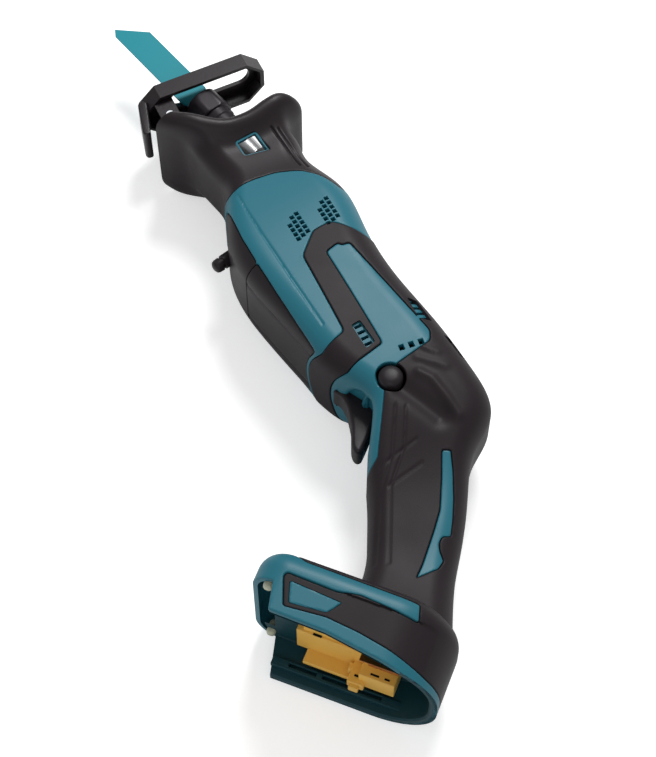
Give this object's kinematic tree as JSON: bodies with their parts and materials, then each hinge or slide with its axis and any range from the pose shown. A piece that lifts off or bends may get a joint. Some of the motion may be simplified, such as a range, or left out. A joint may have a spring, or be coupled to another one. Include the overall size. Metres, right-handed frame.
{
  "type": "reciprocating saw",
  "caption": "Compact cordless reciprocating saw with a rubber-covered body, a tilting slotted shoe, a short blade and an open battery foot.",
  "frame": {"origin": "centre of the whole saw seen from above, on the surface it lies on", "axes": "+X rearward along the blade's line, +Y towards the tool's top, +Z towards the tool's left side, which faces up as it lies"},
  "size_m": [0.4778, 0.2422, 0.0802],
  "materials": {
    "teal_case": "moulded glass-filled nylon, fine texture",
    "black_grip": "soft overmould, matt",
    "black_boot": "thick moulded rubber boot, matt",
    "black_cover": "textured black plastic cover",
    "alloy": "die cast, as cast",
    "bronze": "sintered bronze",
    "felt": "oiled felt",
    "ground_steel": "ground and oiled steel",
    "blade_steel": "teal enamel on blade steel",
    "dark_steel": "black oxide",
    "copper": "copper bars",
    "lamination": "stacked laminations",
    "ferrite": "ferrite",
    "zinc": "zinc plated steel",
    "shoe_steel": "black powder coat on pressed steel",
    "white_plastic": "white moulded plastic",
    "yellow_plastic": "yellow moulded plastic",
    "black_plastic": "black moulded plastic",
    "cream_rubber": "cream rubber",
    "carbon": "pressed carbon",
    "spring_steel": "hard drawn wire"
  },
  "bodies": {
    "housing": {"housing_left": "teal_case", "housing_right": "teal_case", "grip_left": "black_grip", "grip_right": "black_grip", "front_boot": "black_boot", "nose_cover": "black_cover", "belly_cover": "black_cover", "gear_case": "alloy", "rod_bushes": "bronze", "felt_seal": "felt", "crank_bearing": "ground_steel", "motor_can": "zinc", "motor_magnets": "ferrite", "brush_holder": "black_plastic", "carbon_brushes": "carbon", "motor_bearings": "ground_steel", "switch_body": "black_plastic", "terminal_block": "yellow_plastic", "battery_contacts": "copper", "bumper_pads": "cream_rubber", "housing_screws": "zinc", "release_spring": "spring_steel", "trigger_spring": "spring_steel"},
    "rotor": {"armature_core": "lamination", "motor_shaft": "ground_steel", "commutator": "copper", "cooling_fan": "black_plastic", "motor_pinion": "ground_steel"},
    "crank": {"crank_gear": "ground_steel", "crank_shaft": "ground_steel", "crank_pin": "ground_steel", "crank_roller": "ground_steel"},
    "blade_carrier": {"blade_rod": "ground_steel", "blade_pin": "ground_steel", "retaining_ring": "spring_steel", "saw_blade": "blade_steel"},
    "clamp": {"clamp_sleeve": "dark_steel"},
    "shoe_slide": {"shoe_bar": "zinc", "shoe_pivot_pin": "zinc"},
    "shoe": {"shoe_plate": "shoe_steel"},
    "release": {"release_button": "black_plastic"},
    "trigger_lever": {"trigger": "black_plastic"},
    "lock": {"lock_off_button": "black_plastic"}
  },
  "joints": [
    {"name": "motor_spin", "type": "hinge", "parent": "housing", "child": "rotor", "pos_m": [0.01709, 0.04445, 0.04], "axis": [1, 0, 0], "continuous": true},
    {"name": "crank_spin", "type": "hinge", "parent": "housing", "child": "crank", "pos_m": [-0.03991, 0.04545, 0.04], "axis": [0, 1, 0], "continuous": true},
    {"name": "blade_stroke", "type": "slide", "parent": "housing", "child": "blade_carrier", "axis": [1, 0, 0], "range_m": [-0.0065, 0.0065]},
    {"name": "clamp_turn", "type": "hinge", "parent": "blade_carrier", "child": "clamp", "pos_m": [-0.14091, 0.07545, 0.04], "axis": [1, 0, 0], "range_deg": [0, 75], "stiffness_Nm_per_rad": 0.05},
    {"name": "shoe_adjust", "type": "slide", "parent": "housing", "child": "shoe_slide", "axis": [-1, 0, 0], "range_m": [0, 0.025]},
    {"name": "shoe_tilt", "type": "hinge", "parent": "shoe_slide", "child": "shoe", "pos_m": [-0.15291, 0.04945, 0.04], "axis": [0, 0, 1], "range_deg": [-10, 22]},
    {"name": "release_press", "type": "slide", "parent": "housing", "child": "release", "axis": [0, 1, 0], "range_m": [0, 0.0025], "stiffness_N_per_m": 800, "deforming": ["release_spring"]},
    {"name": "trigger_squeeze", "type": "slide", "parent": "housing", "child": "trigger_lever", "axis": [0.7469, 0.6649, 0], "range_m": [0, 0.0044], "stiffness_N_per_m": 1500},
    {"name": "lock_slide", "type": "slide", "parent": "housing", "child": "lock", "axis": [0, 0, 1], "range_m": [-0.006, 0]}
  ],
  "couplings": [
    {"joint": "crank_spin", "follows": "motor_spin", "ratio": -0.25}
  ]
}
